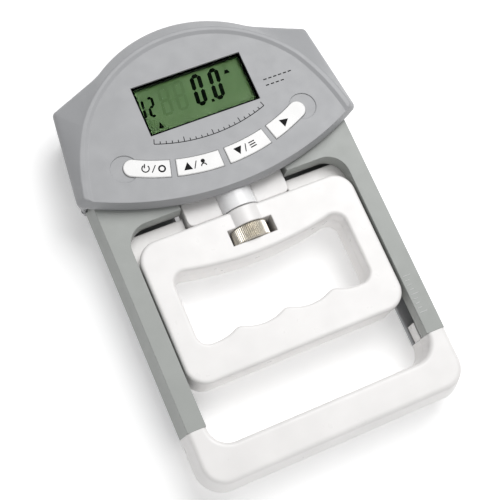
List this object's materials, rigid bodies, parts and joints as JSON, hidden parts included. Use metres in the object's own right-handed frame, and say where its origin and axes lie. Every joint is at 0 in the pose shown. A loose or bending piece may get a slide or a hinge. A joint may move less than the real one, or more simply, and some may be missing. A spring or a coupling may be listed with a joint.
{
  "type": "hand dynamometer",
  "caption": "Electronic hand dynamometer with a display head, four keys, a frame with two arms and a palm bar, and a sliding finger grip set by a knurled knob.",
  "frame": {"origin": "centre of the overall bounding box in plan, on the back face that the object lies on", "axes": "+Z out of the display face, +Y from the palm bar towards the domed head, +X to the right as the display is read"},
  "size_m": [0.127, 0.1914, 0.031],
  "materials": {
    "housing_grey": "satin moulded",
    "frame_grey": "satin moulded",
    "white_plastic": "semi-gloss moulded",
    "sleeve_white": "semi-gloss, slightly translucent",
    "key_white": "semi-gloss",
    "clear_window": "polished",
    "black_mask": "matte",
    "display_green": "satin polariser",
    "holder_white": "matte",
    "strip_rubber": "matte",
    "board_green": "solder mask",
    "chip_black": "matte",
    "rubber_grey": "matte",
    "cell_aluminium": "milled",
    "anchor_steel": "zinc plated",
    "screw_steel": "zinc plated",
    "knob_steel": "knurled",
    "nut_brass": "turned",
    "gauge_foil": "foil on film",
    "ribbon_orange": "film",
    "battery_wrap": "printed sleeve",
    "spring_steel": "nickel plated",
    "lead_red": "insulated wire"
  },
  "bodies": {
    "frame": {"front_frame": "frame_grey", "back_case": "housing_grey", "head_cover": "housing_grey", "palm_bar_front": "white_plastic", "palm_bar_rear": "white_plastic", "stem_sleeve": "sleeve_white", "screw_nut": "nut_brass", "stem_block": "white_plastic", "load_cell": "cell_aluminium", "cell_anchor": "anchor_steel", "cell_screws": "screw_steel", "strain_gauges": "gauge_foil", "gauge_ribbon": "ribbon_orange", "display_window": "clear_window", "display_mask": "black_mask", "display_glass": "display_green", "display_holder": "holder_white", "contact_strip": "strip_rubber", "main_board": "board_green", "board_screws": "screw_steel", "board_chips": "chip_black", "buzzer": "chip_black", "key_mat": "rubber_grey", "battery_lower": "battery_wrap", "battery_upper": "battery_wrap", "battery_springs": "spring_steel", "contact_plates": "spring_steel", "power_leads": "lead_red", "case_screws": "screw_steel", "palm_bar_screws": "screw_steel"},
    "grip": {"grip_front": "white_plastic", "grip_rear": "white_plastic", "grip_screws": "screw_steel"},
    "knob": {"knurled_knob": "knob_steel", "adjusting_screw": "screw_steel", "knob_pin": "screw_steel"},
    "door": {"battery_door": "housing_grey"},
    "key_power": {"button_power": "key_white"},
    "key_up": {"button_up": "key_white"},
    "key_down": {"button_down": "key_white"},
    "key_start": {"button_start": "key_white"}
  },
  "joints": [
    {"name": "grip_slide", "type": "slide", "parent": "frame", "child": "grip", "axis": [0, -1, 0], "range_m": [0, 0.016]},
    {"name": "knob_spin", "type": "hinge", "parent": "grip", "child": "knob", "pos_m": [0, -0.00213, 0.0175], "axis": [0, -1, 0], "range_deg": [0, 3845]},
    {"name": "door_hinge", "type": "hinge", "parent": "frame", "child": "door", "pos_m": [0, 0.04618, 0.00103], "axis": [-1, 0, 0], "range_deg": [0, 95]},
    {"name": "key_power_press", "type": "slide", "parent": "frame", "child": "key_power", "axis": [0, 0, -1], "range_m": [0, 0.0008], "stiffness_N_per_m": 600, "springref_m": -0.0005},
    {"name": "key_up_press", "type": "slide", "parent": "frame", "child": "key_up", "axis": [0, 0, -1], "range_m": [0, 0.0008], "stiffness_N_per_m": 600, "springref_m": -0.0005},
    {"name": "key_down_press", "type": "slide", "parent": "frame", "child": "key_down", "axis": [0, 0, -1], "range_m": [0, 0.0008], "stiffness_N_per_m": 600, "springref_m": -0.0005},
    {"name": "key_start_press", "type": "slide", "parent": "frame", "child": "key_start", "axis": [0, 0, -1], "range_m": [0, 0.0008], "stiffness_N_per_m": 600, "springref_m": -0.0005}
  ],
  "couplings": [
    {"joint": "knob_spin", "follows": "grip_slide", "rad_per_m": 4188.8}
  ]
}
